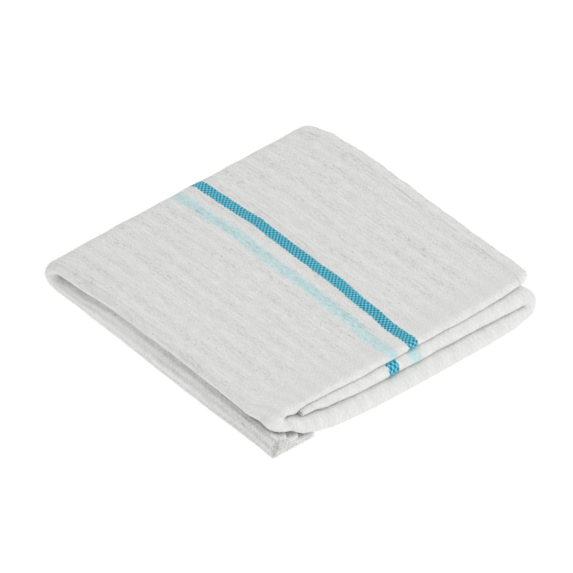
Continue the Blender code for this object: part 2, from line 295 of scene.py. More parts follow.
# Fuzz: loose fibres on the outside, and frayed ones on the free ends near the wrap
FIBRES = 6000
FIBRE_SEED = 12
FIBRE_LENGTH = (0.7, 2.6)
FIBRE_WIDTH = 0.12
FIBRE_TAPER = 0.8
FIBRE_LEAN = 1.1
FIBRE_OUTWARD_LEAST = 0.35
FIBRE_CURL = 0.35
FIBRE_TWIST = 0.3
FIBRE_JOINTS = 4
FIBRE_ROOT_HEIGHT = 0.4
FIBRE_LOWEST_Z = 0.05
FIBRE_SHADES = ((0.74, 0.74, 0.72, 1.0), (0.90, 0.90, 0.88, 1.0))
FIBRE_CLUMPS = 400.0
FIBRE_ROUGHNESS = 0.9
FRAYED_SHARE = 0.22
FRAYED_FROM_X_PLUS_Y = 170.0
FRAYED_UNTIL_Y = 45.0
FRAYED_WAY = (1.0, -0.1, 0.0)

# How thickly the fuzz grows on each place, and where that place begins or ends
FUZZ_ON_TOP = 0.5
TOP_FROM_Z = 20.5
FUZZ_ON_WRAP = 2.0
WRAP_UNTIL_Y = 4.0
FUZZ_ON_BENDS = 1.5
BENDS_FROM_X = 174.0
FUZZ_ON_SELVEDGE = 12.0
SELVEDGE_FROM_Z = 14.0
FUZZ_ON_SPINE = 2.5
SPINE_UNTIL_X = 4.0

# Studio, in metres. A lamp has a name, a place, a size and a power in watts.
WHITE = (1.0, 1.0, 1.0, 1.0)
PAPER = (0.1, 0.1, 0.1, 1.0)
PAPER_GLOW = 0.95
FLOOR_HALF = 3.0
FLOOR_Z = -0.0003
SKY = 0.648
LAMPS = (("key", (2.2, 0.4, 3.0), 2.4, 41.0),)

# Camera. The front corner is where the lower half's corner meets the floor, and
# the picture's middle lies that far right of it, above it and behind it. The
# distance is in metres.
AZIMUTH = 49.7
ELEVATION = 39.26
FRONT_CORNER = np.array([176.0, 0.0, 0.0])
PICTURE_SHIFT = (6.9, 84.8, 85.0)
PICTURE_WIDTH = 286.5
CAMERA_DISTANCE = 12.0
SENSOR = 36.0


def smooth(limits, value):
    """0 before the first limit, 1 after the second, and an even S between them."""
    share = np.clip((value - limits[0]) / (limits[1] - limits[0]), 0.0, 1.0)
    return share * share * (3.0 - 2.0 * share)


def table_column(name, y):
    """A column of the bend table at the distances y from the wrapped side."""
    rows = np.array(BEND_ROWS)
    return np.interp(y, rows[:, 0], rows[:, BEND_COLUMNS.index(name)])


def near_spine(x):
    """1 where the spine's curve ends and 0 where the plies have settled flat."""
    return 1.0 - smooth((SPINE_RADIUS, SPINE_RELAXED_X), x)


def crease_height(x, y):
    """Height of the crease between the two halves of the pack."""
    rise = np.interp(x, CREASE_RISE_X, CREASE_RISE_AT_WRAP)
    flat = CREASE_HEIGHT + rise * (1.0 - smooth(CREASE_RISE_Y, y))
    return flat + (SPINE_RADIUS - flat) * near_spine(x)


def crease_opening(x):
    """How far level 0 lies from the crease, either way: wide at the spine, shut farther on."""
    at_spine = SPINE_RADIUS - PLY / 2 - SPINE_PITCH * OUTER_LEVEL
    return at_spine * near_spine(x)


def upper_pitch(x, y):
    """Spacing of the plies in the upper half."""
    flat = TOP_PITCH_AT_WRAP + (TOP_PITCH - TOP_PITCH_AT_WRAP) * smooth(PILLOW_Y, y)
    return flat + (SPINE_PITCH - flat) * near_spine(x)


def lower_top(x, y):
    """Height of level 0 of the lower half, whose front corner is pressed down."""
    pressed = smooth(CRUSH_STARTS_Y, y) * (1.0 - smooth(CRUSH_ENDS_Y, y))
    return crease_height(x, y) - crease_opening(x) - CRUSH * smooth(CRUSH_X, x) * pressed


def lower_pitch(x, y):
    """Spacing of the plies in the lower half, which keeps the lowest one on the floor."""
    return (lower_top(x, y) - PLY / 2) / OUTER_LEVEL


def width_stations():
    """Where the sheet's columns lie across the width of the cloth.

    Returns, one row for each column, y, the turn's angle (0 on panel c, half a
    circle on the other panel), the shares of the panels a, b and c, and the side
    that the turn bulges to (1 at the turn, -1 at the wrap, 0 on a panel).
    """
    wrap_reach = WRAP_REACH + HALF_PITCH * TOP_PITCH_AT_WRAP
    turn_reach = TURN_REACH + HALF_PITCH * TOP_PITCH
    wrap_length = np.pi * np.sqrt((wrap_reach**2 + (2 * TOP_PITCH_AT_WRAP) ** 2) / 2)
    turn_length = np.pi * np.sqrt((turn_reach**2 + TOP_PITCH**2) / 2)
    panels_c_and_a = (TURN_Y - WRAP_Y) + (SELVEDGE_Y - WRAP_Y)
    b_edge = TURN_Y - (CLOTH_WIDTH - turn_length - wrap_length - panels_c_and_a)
    coarse = spaced(WRAP_Y, TURN_Y, HIDDEN_STEP_Y, FINE_UNTIL_Y)
    fine = spaced(WRAP_Y, SELVEDGE_Y, VISIBLE_STEP_Y, FINE_UNTIL_Y)
    fine = sorted(fine + [SELVEDGE_Y - distance for distance in BESIDE_SELVEDGE])
    on_b = [b_edge] + [y for y in coarse if y > b_edge + FREE_EDGE_STEP]
    rows = [(y, np.pi, (0, 1, 0), 0) for y in on_b]
    for step in range(1, TURN_STEPS + 1):
        angle = np.pi * (1 - step / TURN_STEPS)
        near_c = (1 + np.cos(angle)) / 2
        rows.append((TURN_Y, angle, (0, 1 - near_c, near_c), 1))
    rows += [(y, 0.0, (0, 0, 1), 0) for y in coarse[-2::-1]]
    for step in range(1, WRAP_STEPS + 1):
        angle = np.pi * step / WRAP_STEPS
        near_c = (1 + np.cos(angle)) / 2
        rows.append((WRAP_Y, angle, (1 - near_c, 0, near_c), -1))
    rows += [(y, np.pi, (1, 0, 0), 0) for y in fine[1:]]
    y = np.array([row[0] for row in rows])
    angle = np.array([row[1] for row in rows])
    shares = np.array([row[2] for row in rows], float)
    side = np.array([row[3] for row in rows], float)
    return y, angle, shares, side


def spaced(start, end, step, fine_until):
    """Places from start to end, half a step apart as far as fine_until and a step apart after it."""
    first = np.linspace(start, fine_until, round(2 * (fine_until - start) / step) + 1)
    second = np.linspace(fine_until, end, round((end - fine_until) / step) + 1)
    return list(first) + list(second[1:])


def ply_stations(step):
    """Where the sheet's rows lie along one ply, from its free end to the bend's tip."""
    rows = [("end", value) for value in BACK_FROM_END]
    rows += [("lower", value) for value in evenly(FLAT_X[1], FLAT_X[0], step)]
    rows += [("spine", value) for value in evenly(0.0, 1.0, step / (np.pi * SPINE_RADIUS))]
    rows += [("upper", value) for value in evenly(*FLAT_X, step)]
    rows += [("loop", value) for value in evenly(0.0, 1.0, LOOP_STEP)]
    rows += [("cap", value) for value in evenly(CAP_STEP, 90.0, CAP_STEP)]
    return rows


def evenly(start, end, step):
    """Places from start to end, both included, about a step apart."""
    return list(np.linspace(start, end, max(2, round(abs(end - start) / step) + 1)))


def middle_surface():
    """The sheet's middle surface: columns across the width, rows along the length.

    The second value is how many rows the outer ply has, up to the bends' tip.
    """
    y, angle, shares, side = width_stations()
    outer = [middle_of_ply(s, y, angle, shares, side, -1) for s in ply_stations(VISIBLE_STEP_X)]
    inner = [middle_of_ply(s, y, angle, shares, side, 1) for s in ply_stations(HIDDEN_STEP_X)]
    return sagged(np.stack(outer + inner[-2::-1], axis=1)), len(outer)


def wrap_drawn_in():
    """How far the wrap's centre moves in at the bends, where its loop is tall."""
    growth = (WRAP_TALL - PLY) / 2 - HALF_PITCH * TOP_PITCH_AT_WRAP
    return 2 * growth + WRAP_REACH_AT_BENDS - WRAP_REACH + WRAP_SET_BACK


def upper_shift(x, y, shares):
    """How far a column of the upper half moves in beside the bends."""
    drawn = wrap_drawn_in() * smooth(WRAP_OPENS_X, x) * (1.0 - smooth(NEAR_WRAP_Y, y))
    drawn_b = PANEL_B_DRAWN_IN * smooth(PANEL_B_DRAWN_X, x) * (1.0 - smooth(PANEL_B_DRAWN_Y, y))
    return drawn + (drawn_b - drawn) * shares[:, 1]


def lower_shift(x, y, shares):
    """How far a column of the lower half moves: its foot flares out beside the wrap."""
    flare = FOOT_FLARE * (shares @ LEVELS - LEVELS[2]) / (LEVELS[0] - LEVELS[2])
    shift = LOWER_SHIFT_B * shares[:, 1] + LOWER_SPLAY * smooth(LOWER_SPLAY_X, x)
    return (shift - flare) * (1.0 - smooth(NEAR_WRAP_Y, y))


def selvedge_bow(x, y, shares):
    """How far the free selvedge of panel a bows outward."""
    limits = (SELVEDGE_BOW_FROM_Y, SELVEDGE_Y)
    return np.interp(x, SELVEDGE_X, SELVEDGE_SHIFT) * smooth(limits, y) * shares[:, 0]


def bend_shape(y, angle, shares, side):
    """Start X, middle X and middle Z of each column's loop, its half height and half width.

    The two halves differ at the wrap only, where the loop is wider than it is tall.
    """
    at_tip = y + upper_shift(np.full_like(y, END_X), y, shares)
    mixed = {}
    for name in ("end", "z", "tall"):
        panels = [table_column(panel + name, at_tip) for panel in ("a_", "b_", "c_")]
        mixed[name] = (shares * np.array(panels).T).sum(axis=1)
    around = np.where(side < 0, np.sin(angle), 0.0)
    tall = mixed["tall"] + (WRAP_TALL - mixed["tall"]) * around
    middle = mixed["end"] - tall / 2
    start = middle - shares @ LOOP_LENGTHS
    return start, middle, mixed["z"], (mixed["tall"] - PLY) / 2, (tall - PLY) / 2


def end_x(y, shares):
    """X of the free ends of the lower half."""
    drawn = END_BACK_AT_TURN * smooth(END_TURN_Y, y)
    for share, row in zip(shares.T, END_ROWS):
        end = dict(zip(END_COLUMNS, row))
        drawn += share * end["drawn_back"] * smooth((end["from_y"], end["to_y"]), y)
    return END_X - drawn


def middle_of_ply(station, y, angle, shares, side, ply):
    """Points on the middle of one ply, for all columns at one row of the mesh.

    ply is +1 for the ply inside the turns and -1 for the one outside them. Each
    point is the middle line of the two plies plus an offset across it, which
    grows from half a pitch to half the loop's height where the loop opens.
    """
    part, value = station
    level = shares @ LEVELS
    start, middle, bend_z, tip_half, tip_wide = bend_shape(y, angle, shares, side)
    along_x, along_z = np.zeros_like(y), np.ones_like(y)
    cap = 0.0
    if part in ("end", "lower"):
        x = end_x(y, shares) - value if part == "end" else np.full_like(y, value)
        stand = y + lower_shift(x, y, shares)
        z = lower_top(x, stand) - lower_pitch(x, stand) * level
        half = wide = HALF_PITCH * lower_pitch(x, stand)
        along_z = -along_z
        reach = np.where(side > 0, TURN_REACH, WRAP_REACH_LOWER)
    elif part == "spine":
        turn = np.pi * (value - 0.5)
        radius = SPINE_RADIUS - PLY / 2 - SPINE_PITCH * (OUTER_LEVEL - level)
        x = SPINE_RADIUS - radius * np.cos(turn)
        z = SPINE_RADIUS + radius * np.sin(turn)
        half = wide = np.full_like(y, HALF_PITCH * SPINE_PITCH)
        along_x, along_z = along_x - np.cos(turn), along_z * np.sin(turn)
        rise = smooth((0.0, 1.0), value)
        stand = y + lower_shift(x, y, shares) * (1.0 - rise)
        reach = WRAP_REACH_LOWER + (WRAP_REACH - WRAP_REACH_LOWER) * rise
        reach = np.where(side > 0, TURN_REACH, reach)
    else:
        share = 1.0 if part == "cap" else value
        x = np.full_like(y, value) if part == "upper" else start + (middle - start) * share
        share = np.clip((x - start) / (middle - start), 0.0, 1.0)
        stand = y + upper_shift(x, y, shares)
        flat = crease_height(x, stand) + crease_opening(x) + upper_pitch(x, stand) * level
        z = flat + (bend_z - flat) * smooth((0.0, 1.0), share)
        slope = 6.0 * share * (1.0 - share) / (middle - start) * (bend_z - flat)
        along_x, along_z = -slope / np.hypot(1.0, slope), 1.0 / np.hypot(1.0, slope)
        flat_half = HALF_PITCH * upper_pitch(x, stand)
        open_share = smooth((LOOP_OPENS_AT_SHARE, 1.0), share)
        half = flat_half + (tip_half - flat_half) * open_share
        wide = flat_half + (tip_wide - flat_half) * open_share
        opened = smooth(WRAP_OPENS_X, x)
        reach = WRAP_REACH + (WRAP_REACH_AT_BENDS - WRAP_REACH) * opened
        reach = np.where(side > 0, TURN_REACH, reach)
    bulge = side * (reach + wide) * np.sin(angle)
    if part == "cap":
        degrees = np.radians(value)
        cap = tip_wide * np.sin(degrees)
        half = half * np.cos(degrees)
        wide = wide * np.cos(degrees)
    return np.stack(
        [
            x + cap + ply * half * along_x * np.cos(angle),
            stand + bulge + selvedge_bow(x, y, shares) - ply * wide * side * np.sin(angle),
            z + ply * half * along_z * np.cos(angle),
        ],
        axis=1,
    )


def sagged(points):
    """The whole pack with its corner between the spine and the wrap let down a little."""
    near = 1.0 - smooth(SAG_X, points[:, :, 0])
    near = near * (1.0 - smooth(SAG_Y, points[:, :, 1]))
    low = PLY / 2
    moved = points.copy()
    moved[:, :, 0] -= SAG_REACH * near
    moved[:, :, 2] = low + (points[:, :, 2] - low) * (1.0 - SAG_SHARE * near)
    return moved


def grid_directions(points, axis):
    """Directions along one axis of a grid. The nearer neighbour counts more than the other."""
    steps = np.diff(points, axis=axis)
    lengths = np.linalg.norm(steps, axis=2, keepdims=True)
    slopes = steps / lengths**2
    inside = [slice(None)] * 3
    before = list(inside)
    inside[axis], before[axis] = slice(1, None), slice(None, -1)
    middle = slopes[tuple(inside)] + slopes[tuple(before)]
    first, last = slopes.take([0], axis=axis), slopes.take([-1], axis=axis)
    return np.concatenate([first, middle, last], axis=axis)


def grid_normals(points):
    """Unit normals of a grid of points."""
    across = grid_directions(points, 0)
    along = grid_directions(points, 1)
    normal = np.cross(along, across)
    return normal / np.linalg.norm(normal, axis=2, keepdims=True)


def cloth_coordinates(points, bend_row):
    """Each grid point's place on the flat cloth, in metres: across the width and along the length.

    A column's place is the mean distance along the rows at the spine from the free edge
    of panel b, scaled to the cloth's width. A row's place is its distance along the
    outer panel, scaled so that the bends' tip is half-way along the length.
    """
    rows = points[:, bend_row // 2 - WIDTH_ROWS : bend_row // 2 + WIDTH_ROWS]
    across = np.linalg.norm(np.diff(rows, axis=0), axis=2).mean(axis=1)
    across = np.concatenate([[0.0], np.cumsum(across)])
    across *= CLOTH_WIDTH / across[-1]
    columns = points[-len(points) // MEASURED_PART :]
    along = np.linalg.norm(np.diff(columns, axis=1), axis=2).mean(axis=0)
    along = np.concatenate([[0.0], np.cumsum(along)])
    tip = along[bend_row - 1]
    along = np.where(along < tip, along / tip, 1.0 + (along - tip) / (along[-1] - tip))
    along *= CLOTH_LENGTH / 2
    across, along = np.meshgrid(across, along, indexing="ij")
    return np.stack([across, along], axis=2) * MILLIMETRE


def waves(u, v, table):
    """A sum of slanted sine waves over the flat cloth, one for each row of a wave table."""
    total = np.zeros_like(u)
    for height, length_u, length_v, phase in table:
        total += height * np.sin(2 * np.pi * (u / length_u + v / length_v) + phase)
    return total


def rippled(points):
    """The free selvedge of panel a moved in and out by a sum of sine waves along X."""
    free = np.zeros(points.shape[:2])
    free[-len(points) // RIPPLED_PART :] = 1.0
    free *= smooth((RIPPLE_FROM_Y, SELVEDGE_Y), points[:, :, 1])
    moved = points.copy()
    for height, length, phase in SELVEDGE_RIPPLES:
        moved[:, :, 1] += free * height * np.sin(2 * np.pi * points[:, :, 0] / length + phase)
    return moved


def leaning(points):
    """The corner between the spine and the wrap sheared along X, by its height above the middle."""
    near = 1.0 - smooth(LEAN_X, points[:, :, 0])
    near = near * (1.0 - smooth(LEAN_Y, points[:, :, 1]))
    moved = points.copy()
    moved[:, :, 0] += LEAN * near * (points[:, :, 2] / LEAN_MIDDLE_Z - 1.0)
    return moved


def softened(points, normals, flat):
    """The sheet with soft ridges and dents pressed into it, along the grid's own normals.

    The push is a sum of long sine waves over the flat cloth. It fades out on the
    lowest ply, which stays flat on the floor.
    """
    u, v = flat[:, :, 0] / MILLIMETRE, flat[:, :, 1] / MILLIMETRE
    push = waves(u, v, SOFT_WAVES)
    push *= smooth((WAVES_FROM_Z, WAVES_FULL_Z), points[:, :, 2])
    return points + normals * push[:, :, None]


def hem_thickness(points, flat):
    """The sheet's thickness: even, but for the hems, which nearly fill their ply's room."""
    along = flat[:, :, 1]
    from_end = np.minimum(along, CLOTH_LENGTH * MILLIMETRE - along) / MILLIMETRE
    room = lower_pitch(points[:, :, 0], points[:, :, 1]) - PLY - HEM_GAP
    room = np.clip(room, 0.0, HEM_EXTRA_MOST)
    return PLY + room * (1.0 - smooth(HEM_LENGTH, from_end))


def sheet_mesh(name, points, normals, thickness, flat):
    """A closed sheet: the grid moved half a thickness either way, and a rim round it.

    Nothing goes below the floor. Its UV map holds each point's place on the flat
    cloth, in metres.
    """
    columns, rows = points.shape[:2]
    half = thickness[:, :, None] / 2
    above = (points + normals * half).reshape(-1, 3)
    below = (points - normals * half).reshape(-1, 3)
    index = np.arange(columns * rows).reshape(columns, rows)
    count = columns * rows
    first, second = index[:-1, :-1], index[1:, :-1]
    third, fourth = index[1:, 1:], index[:-1, 1:]
    top = np.stack([first, fourth, third, second], axis=2).reshape(-1, 4)
    bottom = np.stack([first, second, third, fourth], axis=2).reshape(-1, 4) + count
    border = np.concatenate([index[:-1, 0], index[-1, :-1], index[:0:-1, -1], index[0, :0:-1]])
    following = np.roll(border, -1)
    rim = np.stack([border, following, following + count, border + count], axis=1)
    vertices = np.concatenate([above, below])
    vertices[:, 2] = np.maximum(vertices[:, 2], 0.0)
    vertices = (vertices - ORIGIN) * MILLIMETRE
    mesh = mesh_from_arrays(name, vertices, np.concatenate([top, bottom, rim]))
    places = np.concatenate([flat.reshape(-1, 2), flat.reshape(-1, 2)])
    corners = np.empty(len(mesh.loops), np.int32)
    mesh.loops.foreach_get("vertex_index", corners)
    layer = mesh.uv_layers.new(name="flat_cloth")
    layer.data.foreach_set("uv", places[corners].astype(np.float32).ravel())
    return mesh


def mesh_from_arrays(name, vertices, faces):
    """A smooth-shaded mesh from arrays of points, in metres, and of four-cornered faces."""
    mesh = bpy.data.meshes.new(name)
    mesh.from_pydata(vertices.tolist(), [], faces.tolist())
    mesh.update()
    mesh.shade_smooth()
    return mesh


def linked(name, mesh):
    """An object of a mesh, at the origin."""
    item = bpy.data.objects.new(name, mesh)
    bpy.context.scene.collection.objects.link(item)
    return item


def node(tree, kind, **settings):
    """A new node with its properties set."""
    made = tree.nodes.new(kind)
    for key, value in settings.items():
        setattr(made, key, value)
    return made


def math_node(tree, operation, *values):
    """A math node's output. A value is a number or another node's output."""
    made = node(tree, "ShaderNodeMath", operation=operation)
    for socket, value in zip(made.inputs, values):
        if isinstance(value, (int, float)):
            socket.default_value = value
        else:
            tree.links.new(value, socket)
    return made.outputs[0]


def remapped(tree, value, low, high, to_low=0.0, to_high=1.0, smoothly=False):
    """A value taken from one range to another, and held at its ends."""
    made = node(tree, "ShaderNodeMapRange", clamp=True)
    made.interpolation_type = "SMOOTHSTEP" if smoothly else "LINEAR"
    tree.links.new(value, made.inputs["Value"])
    made.inputs["From Min"].default_value = low
    made.inputs["From Max"].default_value = high
    made.inputs["To Min"].default_value = to_low
    made.inputs["To Max"].default_value = to_high
    return made.outputs["Result"]


def stretched_noise(tree, u, v, size, detail=2.0):
    """Noise over the flat cloth, with grains of a size across and along it in millimetres."""
    place = node(tree, "ShaderNodeCombineXYZ")
    tree.links.new(math_node(tree, "DIVIDE", u, size[0]), place.inputs["X"])
    tree.links.new(math_node(tree, "DIVIDE", v, size[1]), place.inputs["Y"])
    made = node(tree, "ShaderNodeTexNoise", noise_dimensions="2D")
    made.inputs["Scale"].default_value = 1.0
    made.inputs["Detail"].default_value = detail
    tree.links.new(place.outputs["Vector"], made.inputs["Vector"])
    return made.outputs[0]


def new_group(name, outputs):
    """A shader group that takes a place on the flat cloth, u across and v along, in mm."""
    group = bpy.data.node_groups.new(name, "ShaderNodeTree")
    for socket in ("U", "V"):
        group.interface.new_socket(socket, in_out="INPUT", socket_type="NodeSocketFloat")
    for socket in outputs:
        group.interface.new_socket(socket, in_out="OUTPUT", socket_type="NodeSocketFloat")
    start = group.nodes.new("NodeGroupInput")
    end = group.nodes.new("NodeGroupOutput")
    return group, start.outputs["U"], start.outputs["V"], end


def weave_group():
    """Coarse weave of uneven yarns: bands, lines, streaks, dashes and flecks along the stripes, and
    painted shade on the lower half's wrap.
    """
    group, u, v, end = new_group("coarse_weave", ("Height", "Shade", "Crossing"))

    def noise(size, detail=1.0):
        return stretched_noise(group, u, v, size, detail)

    def wave(place, pitch, wander, size):
        wandering = remapped(group, noise(size), *NOISE_REACH, -wander, wander)
        moved = math_node(group, "ADD", place, wandering)
        return math_node(group, "SINE", math_node(group, "MULTIPLY", moved, 2 * np.pi / pitch))

    def product(first, second):
        return math_node(group, "MULTIPLY", first, second)

    def centred(value, strength):
        return product(math_node(group, "SUBTRACT", value, 0.5), strength)

    across = wave(u, YARN_PAIR_ACROSS, YARN_WANDER, YARN_ACROSS_GRAIN)
    along = wave(v, YARN_PAIR_ALONG, YARN_WANDER, YARN_ALONG_GRAIN)
    crossing = product(across, along)
    group.links.new(crossing, end.inputs["Crossing"])
    bands = wave(u, BAND_PITCH, BAND_WANDER, BAND_GRAIN)
    # Dashes, where a yarn is thin, gather in patches and in the dark half of the bands
    patches = remapped(group, noise(PATCH_SIZE), *PATCH_RANGE)
    gathered = product(patches, remapped(group, bands, *DASHES_BY_BAND))
    dashes = product(remapped(group, noise(DASH_SIZE), *DASH_RANGE), gathered)
    # The cloth turning round the wrap shows its yarns as fine ribs
    from_wrap = math_node(group, "ABSOLUTE", math_node(group, "SUBTRACT", u, WRAP_U))
    on_wrap = remapped(group, from_wrap, *RIB_WIDTH, 1.0, 0.0, smoothly=True)
    from_bend = math_node(group, "ABSOLUTE", math_node(group, "SUBTRACT", v, CLOTH_LENGTH / 2))
    lower = remapped(group, from_bend, *LOWER_FROM_BEND, smoothly=True)
    # Painted shade darkens the lower half's wrap, growing from the bend towards the free ends
    darker = remapped(group, from_bend, *PAINTED_SHADE_FROM_BEND, *PAINTED_SHADE_SHARES)
    painted_shade_on_lower_wrap = product(product(on_wrap, lower), darker)
    rib_strength = product(on_wrap, remapped(group, lower, 0.0, 1.0, RIB_IN_UPPER_HALF, 1.0))
    ribs = product(wave(u, RIB_PITCH, RIB_WANDER, RIB_GRAIN), rib_strength)
    # Lines, streaks and dashes hardly show on the bends, where the cloth is stretched smooth
    calm = remapped(group, from_bend, *CALM_FROM_BEND, CALM_SHARE, 1.0, smoothly=True)
    dashes = product(dashes, calm)
    flecks = product(remapped(group, noise(FLECK_SIZE, 0.0), *FLECK_RANGE), calm)
    effects = (
        (crossing, WEAVE_SHADE, WEAVE_HEIGHT),
        (bands, BAND_SHADE, BAND_HEIGHT),
        (centred(noise(LINE_SIZE), calm), LINE_SHADE, LINE_HEIGHT),
        (centred(noise(STREAK_SIZE), calm), STREAK_SHADE, STREAK_HEIGHT),
        (centred(noise(MOTTLE_SIZE, 2.0), 1.0), MOTTLE_SHADE, MOTTLE_HEIGHT),
        (dashes, DASH_SHADE, DASH_HEIGHT),
        (flecks, FLECK_SHADE, 0.0),
        (ribs, RIB_SHADE, RIB_HEIGHT),
        (product(crossing, painted_shade_on_lower_wrap), WRAP_WEAVE_SHADE, 0.0),
        # Painted shade on the lower half's wrap
        (painted_shade_on_lower_wrap, LOWER_WRAP_PAINTED_SHADE, 0.0),
    )
    shade, height = 1.0, 0.0
    for value, shade_share, height_share in effects:
        shade = math_node(group, "MULTIPLY_ADD", value, shade_share, shade)
        height = math_node(group, "MULTIPLY_ADD", value, height_share, height)
    group.links.new(shade, end.inputs["Shade"])
    group.links.new(height, end.inputs["Height"])
    return group


def stripes_group():
    """Masks of the dark and the pale stripe beside each long edge, and of the edge's own line."""
    group, u, v, end = new_group("edge_stripes", ("Dark", "Pale", "Edge Line"))
    far = math_node(group, "SUBTRACT", CLOTH_WIDTH, u)
    from_edge = math_node(group, "MINIMUM", u, far)
    on_top = math_node(group, "GREATER_THAN", u, CLOTH_WIDTH / 2)
    from_bend = math_node(group, "ABSOLUTE", math_node(group, "SUBTRACT", v, CLOTH_LENGTH / 2))
    near_bend = remapped(group, from_bend, 0.0, STRIPE_DRIFT_FROM, 1.0, 0.0, smoothly=True)
    drift_top = math_node(group, "MULTIPLY", on_top, STRIPE_DRIFT_TOP + STRIPE_DRIFT_B)
    drift = math_node(group, "SUBTRACT", drift_top, STRIPE_DRIFT_B)
    drift = math_node(group, "MULTIPLY", near_bend, drift)

    def uneven(size, reach):
        grains = stretched_noise(group, u, v, size, 1.0)
        return remapped(group, grains, *NOISE_REACH, -reach, reach)

    wander = uneven(STRIPE_WANDER_GRAIN, STRIPE_WANDER)
    place = math_node(group, "SUBTRACT", math_node(group, "ADD", from_edge, wander), drift)
    ragged = uneven(STRIPE_RAGGED_GRAIN, STRIPE_RAGGED)
    for name, middle, half, soft in (
        ("Dark", DARK_STRIPE_FROM_EDGE, DARK_STRIPE_HALF, DARK_STRIPE_SOFT),
        ("Pale", PALE_STRIPE_FROM_EDGE, PALE_STRIPE_HALF, PALE_STRIPE_SOFT),
    ):
        away = math_node(group, "ABSOLUTE", math_node(group, "SUBTRACT", place, middle))
        away = math_node(group, "ADD", away, ragged)
        mask = remapped(group, away, half - soft, half + soft, 1.0, 0.0, smoothly=True)
        group.links.new(mask, end.inputs[name])
    away = math_node(group, "SUBTRACT", from_edge, EDGE_LINE_FROM_EDGE)
    away = math_node(group, "ABSOLUTE", away)
    broken = stretched_noise(group, u, v, EDGE_LINE_GRAIN, 1.0)
    broken = remapped(group, broken, *EDGE_LINE_BROKEN)
    line = remapped(group, away, *EDGE_LINE_WIDTH, 1.0, 0.0)
    line = math_node(group, "MULTIPLY", line, broken)
    group.links.new(line, end.inputs["Edge Line"])
    return group


def colour_mix(tree, factor, first, second, blend="MIX"):
    """A colour between two others. A colour is four numbers or another node's output."""
    made = node(tree, "ShaderNodeMix", data_type="RGBA", blend_type=blend, clamp_factor=True)
    sockets = [s for s in made.inputs if s.type == "RGBA"]
    if isinstance(factor, (int, float)):
        made.inputs[0].default_value = factor
    else:
        tree.links.new(factor, made.inputs[0])
    for socket, value in zip(sockets, (first, second)):
        if isinstance(value, tuple):
            socket.default_value = value
        else:
            tree.links.new(value, socket)
    return next(s for s in made.outputs if s.type == "RGBA")


def cloth_material():
    """Undyed cotton with its two stripes, whose blue yarns show as a fine check."""
    material = bpy.data.materials.new("striped_cotton")
    material.use_nodes = True
    tree = material.node_tree
    shader = tree.nodes["Principled BSDF"]
    place = node(tree, "ShaderNodeUVMap", uv_map="flat_cloth")
    split = node(tree, "ShaderNodeSeparateXYZ")
    tree.links.new(place.outputs["UV"], split.inputs["Vector"])
    u = math_node(tree, "DIVIDE", split.outputs["X"], MILLIMETRE)
    v = math_node(tree, "DIVIDE", split.outputs["Y"], MILLIMETRE)
    groups = {}
    for name, group in (("weave", weave_group()), ("stripes", stripes_group())):
        groups[name] = node(tree, "ShaderNodeGroup", node_tree=group)
        tree.links.new(u, groups[name].inputs["U"])
        tree.links.new(v, groups[name].inputs["V"])
    weave, stripes = groups["weave"].outputs, groups["stripes"].outputs
    check = remapped(tree, weave["Crossing"], -CHECK_SHARP, CHECK_SHARP)
    dark = colour_mix(tree, check, DARK_STRIPE_LOW, DARK_STRIPE_HIGH)
    mottled = stretched_noise(tree, u, v, PALE_STRIPE_GRAIN)
    mottled = remapped(tree, mottled, *COLOUR_NOISE_RANGE)
    pale = colour_mix(tree, mottled, PALE_STRIPE_LOW, PALE_STRIPE_HIGH)
    colour = colour_mix(tree, stripes["Pale"], COTTON, pale)
    colour = colour_mix(tree, stripes["Dark"], colour, dark)
    line = math_node(tree, "MULTIPLY", stripes["Edge Line"], EDGE_LINE_SHADE)
    shade = math_node(tree, "SUBTRACT", weave["Shade"], line)
    grey = node(tree, "ShaderNodeCombineColor")
    for socket in grey.inputs:
        tree.links.new(shade, socket)
    colour = colour_mix(tree, 1.0, colour, grey.outputs["Color"], "MULTIPLY")
    tree.links.new(colour, shader.inputs["Base Color"])
    shader.inputs["Roughness"].default_value = COTTON_ROUGHNESS
    shader.inputs["Specular IOR Level"].default_value = COTTON_GLOSS
    shader.inputs["Subsurface Weight"].default_value = GLOW_THROUGH
    shader.inputs["Subsurface Radius"].default_value = (1.0, 1.0, 1.0)
    shader.inputs["Subsurface Scale"].default_value = GLOW_DEPTH
    shader.inputs["Sheen Weight"].default_value = COTTON_SHEEN
    shader.inputs["Sheen Roughness"].default_value = SHEEN_ROUGHNESS
    bump = node(tree, "ShaderNodeBump")
    bump.inputs["Distance"].default_value = MILLIMETRE
    bump.inputs["Strength"].default_value = BUMP_STRENGTH
    tree.links.new(weave["Height"], bump.inputs["Height"])
    tree.links.new(bump.outputs["Normal"], shader.inputs["Normal"])
    return material


def frayed_roots(points, normals, rng, count):
    """Random places on the free ends of the front corner, with the way that their fibres point.

    The ends lie farther back with their distance from the wrap, so the sum of X and Y
    is compared. A place lies on an end's edge, moved up to half a column's step along
    it and up to half a thickness along the normal.
    """
    rows = np.arange(points.shape[1])
    at_end = (rows == 0) | (rows == rows[-1])
    near_wrap = points[:, :, 1] < FRAYED_UNTIL_Y
    near_tip = points[:, :, 0] > FRAYED_FROM_X_PLUS_Y - points[:, :, 1]
    column, row = np.nonzero(near_tip & near_wrap & at_end[None, :])
    picked = rng.integers(0, len(column), count)
    column, row = np.clip(column[picked], 1, points.shape[0] - 2), row[picked]
    place = points[column, row]
    step = points[column + 1, row] - place
    place = place + rng.uniform(-0.5, 0.5, (count, 1)) * step
    place = place + rng.uniform(-0.5, 0.5, (count, 1)) * PLY * normals[column, row]
    return place, np.tile(FRAYED_WAY, (count, 1))


